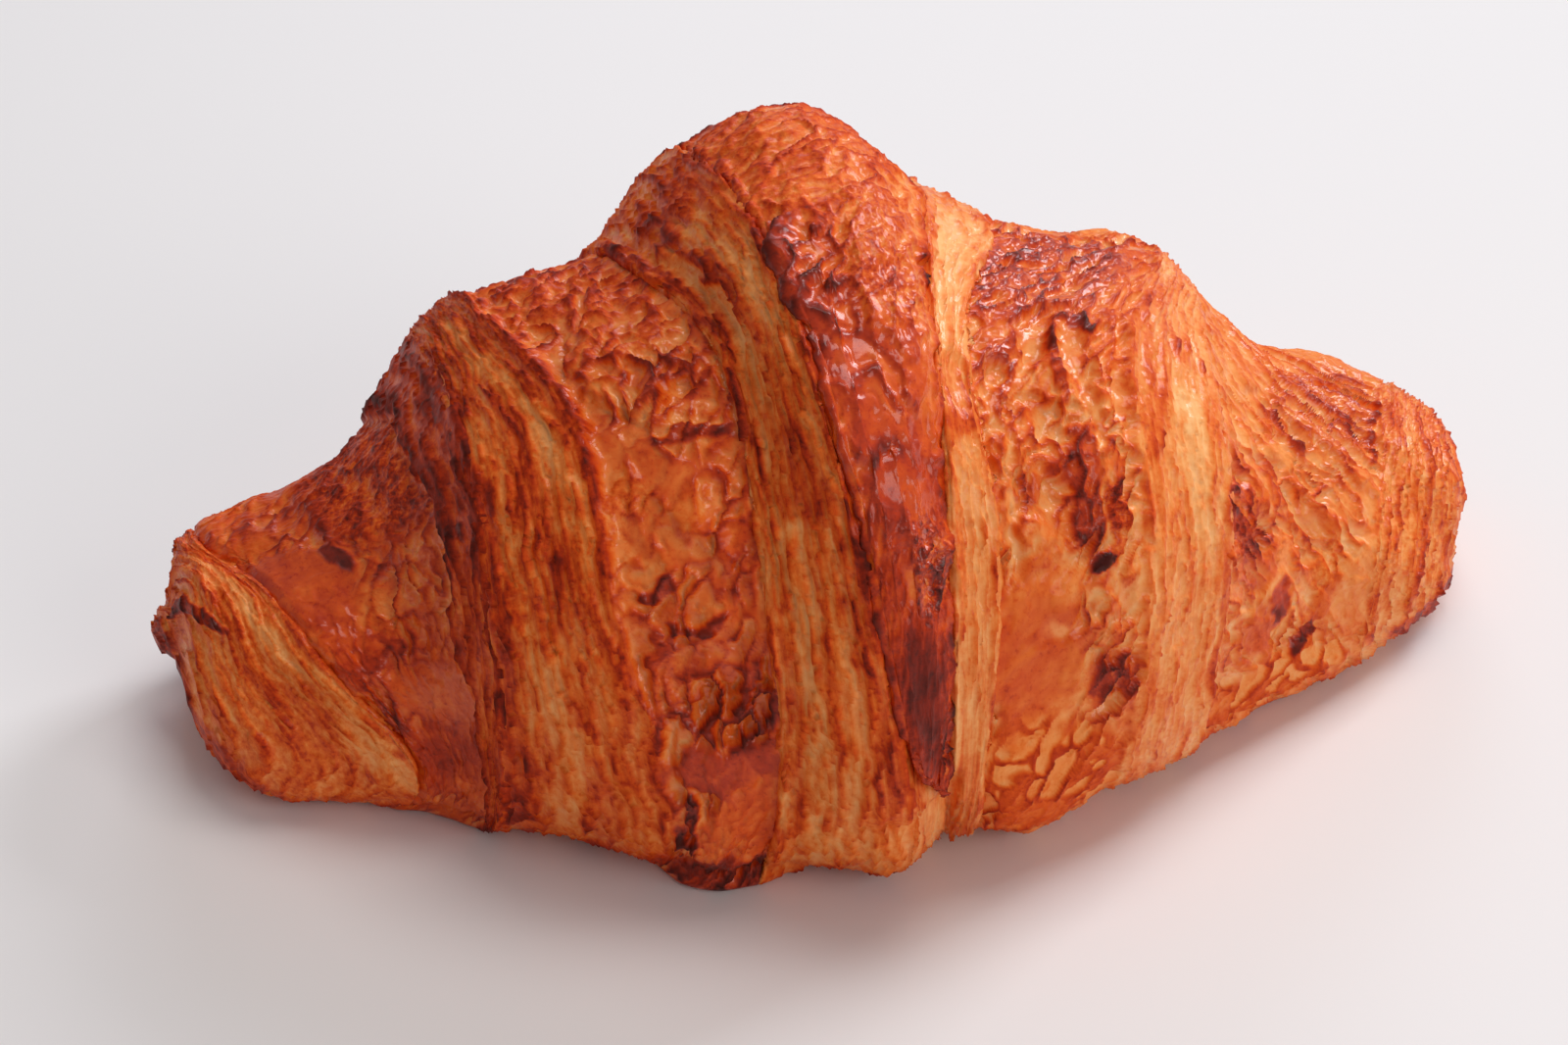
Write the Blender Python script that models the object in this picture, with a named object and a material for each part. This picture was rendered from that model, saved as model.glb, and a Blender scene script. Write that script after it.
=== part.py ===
# A baked croissant: one rolled piece of laminated dough, lying on its flat base.
# X runs from the left tip to the right tip, the outer flap hangs down the front (-Y), and Z is up.
import bmesh
import bpy
import numpy as np

# Driving sizes. All sizes and tables are in millimetres, and MM turns the finished mesh to metres.
MM = 0.001
LENGTH = 160.0              # tip to tip
TIP_LEFT = -77.0            # x of the left tip, measured from the middle of the flap
TIP_RIGHT = TIP_LEFT + LENGTH

# The smooth spindle under the wraps
SPINDLE_HEIGHT = 69.5       # in the middle
SPINDLE_SLOPE = 0.5         # height lost for each millimetre towards a tip
SPINDLE_CURVE = 0.00147
SPINDLE_ROUND = 5.7         # rounds the slope off in the middle
WIDTH_SHARE = 0.60          # half width as a share of the height
WIDTH_SHARE_TIPS = 0.06     # more of it towards the tips
BEND = 14.3                 # how far the tips bend back
BEND_START = -3.3
HALF_SPAN = 76.0

# The section: a superellipse above the belly, a fuller one below it, cut off flat by the base
BELLY_SHARE = 0.42          # height of the widest line as a share of the height
BASE_SINK = 1.12            # how far the round underside would reach, as a share of the belly's height
ROUND_ABOVE = 2.15
ROUND_BELOW = 3.0

SPOKES = 54                 # vertices round a ring
BASE_SPOKE = 4              # the spoke on the base's edge, counted from the middle of the base
STEP_LIFT = 0.007           # half the height of one layer's step, as a share of the section

# The zones along the crest, left to right: name, x of its beginning, rings, whether it is a wrap's
# cut edge with the layers showing as steps, and how deep its beginning is tucked in (as a share).
ZONES = (
    ("tip_roll", -77.0, 12, False, 0),
    ("left_outer_wrap", -70.3, 9, False, 0.05),
    ("left_outer_edge", -42.8, 7, True, 0.03),
    ("left_inner_wrap", -36.6, 8, False, 0),
    ("left_inner_edge", -20.0, 9, True, 0.03),
    ("flap", -10.0, 10, False, 0),
    ("right_inner_edge", 12.2, 7, True, 0.02),
    ("right_inner_wrap", 20.0, 9, False, 0),
    ("right_outer_edge", 40.9, 6, True, 0),
    ("right_outer_wrap", 46.0, 9, False, 0.035),
    ("tip_end", 73.5, 8, False, 0.015),
)

# How far each zone's beginning leans along x at these angles round the section. The angle is 0 at
# the front, 90 on top and 180 at the back. Down the front the wraps lean towards the middle.
LEAN_ANGLES = (-90, -20, 20, 60, 100, 150, 210, 270)
LEANS = (
    (0, 0, 0, 0, 0, 0, 0, 0),
    (6, 20, 11, 5, 0, -1, -2, 6),
    (0, 1, 1, 1, 0, -2, -4, 0),
    (3, 12, 7.5, 6, 0, -3, -6, 3),
    (0, 6.5, 6, 6, 0, -3, -6, 0),
    (1, 10, 6, 2.5, 0, -4, -8, 1),
    (-1, -7.5, -7.5, -5, 0, 3, 6, -1),
    (-3, -12, -9.5, -9, 0, 3, 6, -3),
    (-6, -16, -13, -11.5, 0, 3, 6, -6),
    (-2, -8.5, -5.5, -4, 0, 3, 6, -2),
    (-5, -11, -8, -4, 0, 1, 2, -5),
    (0, 0, 0, 0, 0, 0, 0, 0),
)

# Height of the crest over the wraps: (x, height)
CREST = (
    (-77, 23.2), (-70.6, 23.2), (-69, 25.2), (-60, 28.6), (-53, 34), (-48.5, 39), (-45, 44.8),
    (-42.3, 49.5), (-37, 54.2), (-29.5, 56.6), (-23, 58), (-19, 60), (-15.7, 65), (-10.5, 70.6),
    (-5, 73), (1, 73), (5.7, 71), (11.4, 65.8), (13.8, 62), (17, 59.8), (20, 57.6), (23, 57),
    (30.4, 54.2), (37, 53), (40.9, 51), (43, 48.4), (46, 45), (49.5, 40), (57, 32.5), (66.5, 27.8),
    (73, 24.2), (83, 21),
)

# How full the rounded ends are: (x, share of the full section)
ENDS = (
    (-77, 0), (-76.7, 0.1), (-75.6, 0.19), (-74.2, 0.25), (-73.7, 0.6), (-72.7, 0.8), (-70.8, 0.93),
    (-67.5, 1), (69.5, 1), (74, 0.96), (78.3, 0.85), (81, 0.64), (82.4, 0.36), (83, 0),
)
NUB_RISE = 2.2              # the left tip's nub sits above the middle of its end
NUB_START = -66.0
NUB_RAMP = 8.0

# How far the foot of each wrap swells out or draws in: (x on the crest, distance)
FOOT = (
    (-77, 3), (-71, 0.5), (-60, 1.5), (-48, 1), (-41, -4.5), (-37, -1.5), (-34, 2), (-28, 4),
    (-23, 4), (-18, 4), (-10, 3), (0, 1.5), (12, 1.5), (17, 2.4), (21, 4), (29, 4), (36, 3),
    (43, 0.5), (47, 0.5), (55, 3.5), (65, 4.5), (74, 4), (83, 0),
)
FOOT_TOP = 0.35             # the swelling begins at this sine of the angle round the section
FOOT_DEPTH = 1.1

FLAP_STAND = 0.075          # how far the flap stands out, as a share of the section
FLAP_WIDTH = ((-20, 0), (-10, 1), (12.2, 1), (16, 0))
FLAP_END = -12.0            # the angle at which the flap ends, low on the front
FLAP_FADE = 7.0

LIP_OUT = 3.2               # the pressed lip at the foot of the left inner wrap
LIP_HEIGHT = 4.0
LIP_WIDTH = ((-38, 0), (-33, 1), (-19, 1), (-13, 0))

WAVES = 9                   # slow waves that keep the wraps from looking turned
WAVE_HEIGHT = 0.16
WAVE_SEED = 7


def eased(x):
    x = np.clip(x, 0, 1)
    return x * x * (3 - 2 * x)


def read_table(x, rows):
    places, values = np.transpose(rows)
    return np.interp(x, places, values)


def curve_through(x, stations, values):
    """A smooth curve through the values at the stations, read at x."""
    stations = np.asarray(stations, float)
    i = np.clip(np.searchsorted(stations, x) - 1, 0, len(stations) - 2)
    slopes = np.gradient(values, stations)
    gap = stations[i + 1] - stations[i]
    s = (x - stations[i]) / gap
    return (
        (2 * s**3 - 3 * s**2 + 1) * values[i]
        + (s**3 - 2 * s**2 + s) * gap * slopes[i]
        + (3 * s**2 - 2 * s**3) * values[i + 1]
        + (s**3 - s**2) * gap * slopes[i + 1]
    )


def spindle(x):
    away = np.sqrt(x * x + SPINDLE_ROUND**2) - SPINDLE_ROUND
    return SPINDLE_HEIGHT - SPINDLE_SLOPE * away - SPINDLE_CURVE * x * x


def middle_line(x):
    """y of the middle of the section: the tips bend back."""
    return BEND_START + BEND * (x / HALF_SPAN) ** 2


def belly_line(x):
    """z of the widest line of the section."""
    return BELLY_SHARE * spindle(x) + NUB_RISE * eased((NUB_START - x) / NUB_RAMP)


def ring_places():
    """Where each ring crosses the crest, and how far it is lifted out of the smooth wrap."""
    edges = [zone[1] for zone in ZONES] + [TIP_RIGHT]
    places = []
    lifts = []
    for (_, start, count, layered, tuck), end in zip(ZONES, edges[1:]):
        steps = np.arange(count)
        share = steps / count
        if start == TIP_LEFT:
            share = share**1.3
        if end == TIP_RIGHT:
            share = 1 - (1 - share) ** 1.6
        lift = np.where(steps % 2, STEP_LIFT, -STEP_LIFT) * layered
        lift[0] = -tuck
        places.extend(start + share * (end - start))
        lifts.extend(lift)
    return np.array(places[1:]), np.array(lifts[1:])


def place_along(crest_x, angle):
    """x of each point, once the wraps lean."""
    edges = [zone[1] for zone in ZONES] + [TIP_RIGHT]
    leans = np.transpose([np.interp(crest_x, edges, column) for column in np.transpose(LEANS)])
    rows = [curve_through(row, LEAN_ANGLES, lean) for row, lean in zip(angle, leans)]
    return crest_x[:, None] + np.array(rows)


def base_angles(crest_x):
    """The angle round the section at which each ring meets the flat base."""
    share = (1 - BASE_SINK**-ROUND_BELOW) ** (1 / ROUND_BELOW)
    half_base = spindle(crest_x) * (WIDTH_SHARE + WIDTH_SHARE_TIPS * (crest_x / HALF_SPAN) ** 2)
    half_base = (half_base + read_table(crest_x, FOOT)) * share
    return -np.degrees(np.arctan2(BELLY_SHARE * spindle(crest_x), half_base))


def spoke_angles(crest_x):
    """Angles of every ring's spokes, with one spoke on each edge of the base."""
    even = np.arange(SPOKES) * 360 / SPOKES - 90
    from_front = np.where(even > 90, 180 - even, even)
    nominal = even[BASE_SPOKE]
    moved = np.array([np.interp(from_front, (-90, nominal, 0, 90), (-90, edge, 0, 90))
                      for edge in base_angles(crest_x)])
    return np.where(even > 90, 180 - moved, moved)


def waves(x, angle):
    random = np.random.default_rng(WAVE_SEED)
    total = np.zeros(x.shape)
    for _ in range(WAVES):
        along = random.uniform(0.1, 0.45)
        turns = random.integers(2, 7)
        phase = random.uniform(0, 2 * np.pi)
        total += np.sin(along * x + turns * np.radians(angle) + phase)
    return total * WAVE_HEIGHT


def surface(crest_x, lift, angle):
    """Points of the crust, one row for each ring and one column for each spoke."""
    x = place_along(crest_x, angle)
    in_flap = read_table(crest_x, FLAP_WIDTH)[:, None]
    crest = (read_table(crest_x, CREST) / spindle(crest_x) + lift)[:, None]
    crest = crest - FLAP_STAND * in_flap * (1 - eased((angle - FLAP_END) / FLAP_FADE + 1))

    cosine = np.cos(np.radians(angle))
    sine = np.sin(np.radians(angle))
    fullness = read_table(x, ENDS)
    foot = read_table(crest_x, FOOT)[:, None] * np.clip((FOOT_TOP - sine) / FOOT_DEPTH, 0, 1)
    half_width = spindle(x) * (WIDTH_SHARE + WIDTH_SHARE_TIPS * (x / HALF_SPAN) ** 2) * crest + foot
    above = spindle(x) * (crest - BELLY_SHARE)
    below = spindle(x) * BELLY_SHARE * BASE_SINK
    half_height = np.where(sine > 0, above, below)
    power = np.where(sine > 0, ROUND_ABOVE, ROUND_BELOW)
    reach = (np.abs(cosine / half_width) ** power + np.abs(sine / half_height) ** power) ** (-1 / power)
    reach = (reach + waves(x, angle)) * fullness

    z = belly_line(x) + reach * sine
    z = np.where(sine < np.sin(np.radians(base_angles(crest_x)))[:, None] + 1e-6, z - 1, z)
    z = np.maximum(z, 0)
    lip = read_table(crest_x, LIP_WIDTH)[:, None] * eased(1 - z / LIP_HEIGHT) * eased(3 * cosine)
    y = middle_line(x) - reach * cosine - LIP_OUT * lip
    return x, y, z


def shape_rings(body, crest_x, lift):
    """Moves the sphere's rings and poles to the croissant's sections and tips."""
    x, y, z = surface(crest_x, lift, spoke_angles(crest_x))
    rings = len(crest_x)
    for vertex in body.verts:
        polar = np.arccos(np.clip(vertex.co.z, -1, 1)) / np.pi
        ring = int(round(polar * (rings + 1))) - 1
        spoke = int(round(np.arctan2(vertex.co.y, vertex.co.x) / (2 * np.pi) * SPOKES)) % SPOKES
        if 0 <= ring < rings:
            vertex.co = (x[ring, spoke], y[ring, spoke], z[ring, spoke])
        else:
            tip = TIP_LEFT if ring < 0 else TIP_RIGHT
            vertex.co = (tip, middle_line(tip), belly_line(tip))


def stand_at_origin(body):
    """Puts the middle of the box round the base at the origin, in metres."""
    low = np.min([vertex.co for vertex in body.verts], axis=0)
    high = np.max([vertex.co for vertex in body.verts], axis=0)
    middle = (low + high) / 2
    bmesh.ops.translate(body, verts=body.verts, vec=(-middle[0], -middle[1], -low[2]))
    bmesh.ops.scale(body, verts=body.verts, vec=(MM, MM, MM))


def crust_mesh():
    """A UV sphere with its poles for tips, shaped ring by ring."""
    crest_x, lift = ring_places()
    body = bmesh.new()
    bmesh.ops.create_uvsphere(body, u_segments=SPOKES, v_segments=len(crest_x) + 1, radius=1)
    shape_rings(body, crest_x, lift)
    stand_at_origin(body)
    bmesh.ops.recalc_face_normals(body, faces=body.faces)
    mesh = bpy.data.meshes.new("croissant")
    body.to_mesh(mesh)
    body.free()
    mesh.shade_smooth()
    return mesh


def crust_material():
    material = bpy.data.materials.new("baked_crust")
    material.use_nodes = True
    shader = material.node_tree.nodes["Principled BSDF"]
    shader.inputs["Base Color"].default_value = (0.47, 0.13, 0.035, 1)
    shader.inputs["Roughness"].default_value = 0.38
    shader.inputs["Metallic"].default_value = 0
    return material


def main():
    for item in list(bpy.data.objects):
        bpy.data.objects.remove(item, do_unlink=True)
    group = bpy.data.collections.new("croissant")
    bpy.context.scene.collection.children.link(group)
    mesh = crust_mesh()
    mesh.materials.append(crust_material())
    group.objects.link(bpy.data.objects.new("croissant", mesh))


main()
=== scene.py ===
import math

import bmesh
import bpy
import numpy as np
from mathutils import Matrix, Vector


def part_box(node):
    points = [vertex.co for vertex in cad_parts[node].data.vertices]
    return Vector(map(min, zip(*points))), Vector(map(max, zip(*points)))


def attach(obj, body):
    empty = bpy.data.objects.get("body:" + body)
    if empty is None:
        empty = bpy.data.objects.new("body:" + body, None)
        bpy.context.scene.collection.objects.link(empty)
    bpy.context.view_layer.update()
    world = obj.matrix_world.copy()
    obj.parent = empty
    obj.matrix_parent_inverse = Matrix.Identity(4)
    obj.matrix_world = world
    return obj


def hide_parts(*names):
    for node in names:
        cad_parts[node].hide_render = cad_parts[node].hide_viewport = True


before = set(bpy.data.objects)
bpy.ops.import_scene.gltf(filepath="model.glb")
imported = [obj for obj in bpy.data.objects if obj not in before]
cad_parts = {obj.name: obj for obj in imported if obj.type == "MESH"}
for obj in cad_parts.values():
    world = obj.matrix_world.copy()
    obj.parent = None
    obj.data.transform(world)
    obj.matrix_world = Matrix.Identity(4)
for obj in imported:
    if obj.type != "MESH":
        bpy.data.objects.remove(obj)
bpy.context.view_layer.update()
print("frame loaded")

toMetres = 0.001

croissantForm = {
    "tips": (-77.0, 83.0),
    "height": 69.5,            # of the smooth spindle under the wraps, in the middle
    "slope": 0.5,
    "curve": 0.00147,
    "roundTop": 5.7,
    "widthShare": 0.60,        # half width as a share of the height
    "widthShareTips": 0.06,
    "bend": 14.3,              # how far the tips bend back
    "bendStart": -3.3,
    "halfSpan": 76.0,
    "bellyShare": 0.42,
    "baseSink": 1.12,
    "roundAbove": 2.15,
    "roundBelow": 3.0,
    "nubRise": 2.2,
    "flapStand": 0.075,        # how far the flap stands out, as a share of the section
    "footLip": 3.2,            # the pressed lip at the foot of the left inner wrap
    "footLipHeight": 4.0,
}

# where each wrap and each cut edge begins on the crest
wrapEdges = (-77.0, -70.3, -42.8, -36.6, -20.0, -10.0, 12.2, 20.0, 40.9, 46.0, 73.5, 83.0)

# how far each of those lines leans along x, at these angles round the roll
leanAngles = (-90, -20, 20, 60, 100, 150, 210, 270)
leans = (
    (0, 0, 0, 0, 0, 0, 0, 0),
    (6, 20, 11, 5, 0, -1, -2, 6),
    (0, 1, 1, 1, 0, -2, -4, 0),
    (3, 12, 7.5, 6, 0, -3, -6, 3),
    (0, 6.5, 6, 6, 0, -3, -6, 0),
    (1, 10, 6, 2.5, 0, -4, -8, 1),
    (-1, -7.5, -7.5, -5, 0, 3, 6, -1),
    (-3, -12, -9.5, -9, 0, 3, 6, -3),
    (-6, -16, -13, -11.5, 0, 3, 6, -6),
    (-2, -8.5, -5.5, -4, 0, 3, 6, -2),
    (-5, -11, -8, -4, 0, 1, 2, -5),
    (0, 0, 0, 0, 0, 0, 0, 0),
)

crestLine = (      # t and height
    (-77, 23.2), (-70.6, 23.2), (-69, 25.2), (-60, 28.6), (-53, 34), (-48.5, 39), (-45, 44.8),
    (-42.3, 49.5), (-37, 54.2), (-29.5, 56.6), (-23, 58), (-19, 60), (-15.7, 65), (-10.5, 70.6),
    (-5, 73), (1, 73), (5.7, 71), (11.4, 65.8), (13.8, 62), (17, 59.8), (20, 57.6), (23, 57),
    (30.4, 54.2), (37, 53), (40.9, 51), (43, 48.4), (46, 45), (49.5, 40), (57, 32.5), (66.5, 27.8),
    (73, 24.2), (83, 21),
)
endFullness = (    # x and the share of the full section
    (-77, 0), (-76.7, 0.1), (-75.6, 0.19), (-74.2, 0.25), (-73.7, 0.6), (-72.7, 0.8), (-70.8, 0.93),
    (-67.5, 1), (69.5, 1), (74, 0.96), (78.3, 0.85), (81, 0.64), (82.4, 0.36), (83, 0),
)
footLine = (       # t and how far the foot of the wrap swells out
    (-77, 3), (-71, 0.5), (-60, 1.5), (-48, 1), (-41, -4.5), (-37, -1.5), (-34, 2), (-28, 4),
    (-23, 4), (-18, 4), (-10, 3), (0, 1.5), (12, 1.5), (17, 2.4), (21, 4), (29, 4), (36, 3),
    (43, 0.5), (47, 0.5), (55, 3.5), (65, 4.5), (74, 4), (83, 0),
)
flapPlace = ((-20, 0), (-10, 1), (12.2, 1), (16, 0))
footLipPlace = ((-38, 0), (-33, 1), (-19, 1), (-13, 0))


# ---- small helpers ----

def eased(x):
    x = np.clip(x, 0, 1)
    return x * x * (3 - 2 * x)


def mixed(a, b, share):
    return a + (b - a) * share


def readSmooth(x, rows, blur):
    # a table read as a curve whose corners are rounded over about blur
    places, values = np.transpose(np.array(rows, float))
    fine = np.arange(places[0] - 4 * blur, places[-1] + 4 * blur, 0.1)
    kernel = np.exp(-0.5 * (np.arange(-3 * blur, 3 * blur + 0.05, 0.1) / blur) ** 2)
    pad = len(kernel) // 2
    line = np.pad(np.interp(fine, places, values), pad, mode="edge")
    line = np.convolve(line, kernel / kernel.sum(), mode="same")[pad:pad + len(fine)]
    return np.interp(x, fine, line)


def curveThrough(x, stations, values):
    i = np.clip(np.searchsorted(stations, x) - 1, 0, len(stations) - 2)
    slopes = np.gradient(values, stations)
    gap = stations[i + 1] - stations[i]
    s = (x - stations[i]) / gap
    return ((2 * s**3 - 3 * s**2 + 1) * values[i] + (s**3 - 2 * s**2 + s) * gap * slopes[i]
            + (3 * s**2 - 2 * s**3) * values[i + 1] + (s**3 - s**2) * gap * slopes[i + 1])


# ---- noise ----

randomDirections = np.random.default_rng(11).normal(size=(256, 3))
randomDirections /= np.linalg.norm(randomDirections, axis=1)[:, None]
randomDirections = randomDirections.astype(np.float32)


def scrambled(cell, seed):
    i, j, k = (cell[..., n].astype(np.int64).astype(np.uint32) for n in range(3))
    h = i * np.uint32(73856093) ^ j * np.uint32(19349663) ^ k * np.uint32(83492791)
    h = h ^ np.uint32(seed * 7919 + 17)
    h = (h ^ (h >> np.uint32(15))) * np.uint32(2246822519)
    h = (h ^ (h >> np.uint32(13))) * np.uint32(3266489917)
    return h ^ (h >> np.uint32(16))


def softNoise(p, seed):
    # smooth noise of about -1 to 1 with one swell a unit
    p = p.astype(np.float32)
    base = np.floor(p)
    inside = p - base
    fade = inside**3 * (inside * (inside * 6 - 15) + 10)
    total = np.zeros(p.shape[:-1], np.float32)
    for corner in np.ndindex(2, 2, 2):
        corner = np.array(corner, np.float32)
        slope = randomDirections[scrambled(base + corner, seed) & np.uint32(255)]
        weight = np.prod(np.where(corner > 0, fade, 1 - fade), axis=-1)
        total += weight * ((inside - corner) * slope).sum(-1)
    return total * 1.75


def layeredNoise(p, seed, octaves=3, fall=0.5):
    total = 0
    size = 1.0
    for n in range(octaves):
        total = total + size * softNoise(p * 2.03**n, seed + 31 * n)
        size *= fall
    return total


def cells(p, seed):
    # distance to the nearest and the second nearest of scattered points, the nearest one's random
    # mark, and the way to it
    p = p.astype(np.float32)
    base = np.floor(p)
    near = np.full(p.shape[:-1], 9.0, np.float32)
    second = near.copy()
    mark = near.copy()
    toward = np.zeros_like(p)
    for step in np.ndindex(3, 3, 3):
        cell = base + np.array(step, np.float32) - 1
        h = scrambled(cell, seed)
        jitter = np.stack([(h >> np.uint32(s)) & np.uint32(1023) for s in (0, 10, 20)], -1)
        way = cell + 0.1 + 0.8 * jitter.astype(np.float32) / 1023 - p
        far = np.sqrt((way**2).sum(-1))
        closer = far < near
        second = np.where(closer, near, np.minimum(second, far))
        near = np.where(closer, far, near)
        mark = np.where(closer, ((h >> np.uint32(7)) % np.uint32(997)) / np.float32(997), mark)
        toward = np.where(closer[..., None], way, toward)
    return near, second, mark, toward


# ---- the form under the crust ----

edgeArray = np.array(wrapEdges)
leanArray = np.array(leans, float)
leanStations = np.array(leanAngles, float)
lineAtFront = edgeArray + leanArray[:, leanAngles.index(20)]
lineAtTop = edgeArray + leanArray[:, leanAngles.index(100)]
acrossOfEdges = 0.6 * lineAtFront + 0.4 * lineAtTop


def spindleAt(x):
    away = np.sqrt(x * x + croissantForm["roundTop"] ** 2) - croissantForm["roundTop"]
    return croissantForm["height"] - croissantForm["slope"] * away - croissantForm["curve"] * x * x


def middleAt(x):
    return croissantForm["bendStart"] + croissantForm["bend"] * (x / croissantForm["halfSpan"]) ** 2


def bellyAt(x):
    return croissantForm["bellyShare"] * spindleAt(x) + croissantForm["nubRise"] * eased((-66 - x) / 8)


def slowWaves(x, angle):
    random = np.random.default_rng(7)
    total = 0
    for n in range(9):
        along = random.uniform(0.1, 0.45)
        turns = random.integers(2, 7)
        phase = random.uniform(0, 2 * np.pi)
        total = total + np.sin(along * x + turns * np.radians(angle) + phase)
    return total * 0.16


def leanAt(t, angle):
    columns = np.transpose([np.interp(t, edgeArray, column) for column in leanArray.T])
    return np.array([curveThrough(angle, leanStations, row) for row in columns])


def formPoints(t, angle, offset, share, flapShare):
    # points of the smooth form, a row for each t and a column for each angle, moved out by offset
    # and shrunk towards the middle line by share
    form = croissantForm
    t = np.asarray(t, float)
    lean = leanAt(t, angle)
    share = share[:, None]
    x = t[:, None] + lean
    turn = np.radians(angle)[None, :]
    cosine = np.cos(turn)
    sine = np.sin(turn)
    crest = readSmooth(t, crestLine, 0.7) / spindleAt(t)
    stand = (form["flapStand"] * np.interp(t, *np.transpose(flapPlace)))[:, None]
    crest = crest[:, None] - stand * (1 - eased((angle + 12) / 7 + 1)) * (1 - flapShare)
    foot = readSmooth(t, footLine, 1.5)[:, None] * np.clip((0.35 - sine) / 1.1, 0, 1)
    halfWidth = spindleAt(x) * (form["widthShare"] + form["widthShareTips"] * (x / form["halfSpan"]) ** 2)
    halfWidth = halfWidth * crest + foot
    above = spindleAt(x) * (crest - form["bellyShare"])
    below = spindleAt(x) * form["bellyShare"] * form["baseSink"]
    halfHeight = np.where(sine > 0, above, below)
    power = np.where(sine > 0, form["roundAbove"], form["roundBelow"])
    reach = (np.abs(cosine / halfWidth) ** power + np.abs(sine / halfHeight) ** power) ** (-1 / power)
    fullness = readSmooth(x, endFullness, 0.25)
    reach = ((reach + slowWaves(x, angle[None, :])) * fullness + offset) * share
    x = t[:, None] + lean * share
    z = bellyAt(x) + reach * sine
    lip = np.interp(t, *np.transpose(footLipPlace))[:, None] * eased(1 - z / form["footLipHeight"])
    y = middleAt(x) - reach * cosine - form["footLip"] * lip * eased(3 * cosine) * (share > 0.99)
    return np.stack([x, y, z], -1)


def formBox():
    t = np.linspace(-76.9, 82.9, 320)
    angle = np.linspace(-90, 270, 241)
    p = formPoints(t, angle, np.zeros((320, 1)), np.ones(320), 1.0)
    return p.min((0, 1)), p.max((0, 1))


formLow, formHigh = formBox()
boxLow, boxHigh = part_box("croissant")
formShift = np.array([
    (boxLow.x + boxHigh.x) / 2 / toMetres - sum(croissantForm["tips"]) / 2,
    (boxLow.y + boxHigh.y) / 2 / toMetres - (formLow[1] + formHigh[1]) / 2,
    boxLow.z / toMetres,
])


# marks on the crust

def stripShare(mark, across, angle):
    # how strongly a strip that runs round the roll covers each point
    path = np.array(mark["path"], float)
    path = path[np.argsort(path[:, 1])]
    line = np.interp(np.interp(angle, path[:, 1], path[:, 0]), edgeArray, acrossOfEdges)
    ends = eased((angle - path[0, 1]) / 7 + 1) * eased((path[-1, 1] - angle) / 7 + 1)
    return ends * eased(1.4 - np.abs(across - line) / mark["width"] * 1.9)


def patchShare(mark, across, angle):
    middle = np.interp(mark["at"][0], edgeArray, acrossOfEdges)
    u = (across - middle) / mark["size"][0]
    v = (angle - mark["at"][1]) * 0.66 / mark["size"][1]
    u = u + v * mark.get("slant", 0)
    v = v + u * mark.get("tilt", 0)
    return eased((1.25 - np.sqrt(u * u + v * v)) / mark.get("soft", 0.5))


def wornPlace(place, seed):
    # the place of each point, shaken so that marks get ragged outlines
    solid = place["solid"]
    across = place["across"] + 1.1 * softNoise(solid / 5, seed + 41) + 0.5 * softNoise(solid / 1.7, seed + 42)
    angle = place["angle"] + 3.2 * softNoise(solid / 5.5, seed + 43) + 1.3 * softNoise(solid / 1.9, seed + 44)
    return across, angle


# relief and bake of the two kinds of surface

def crease(distance, width):
    return 1 - eased(distance / width)


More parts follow.
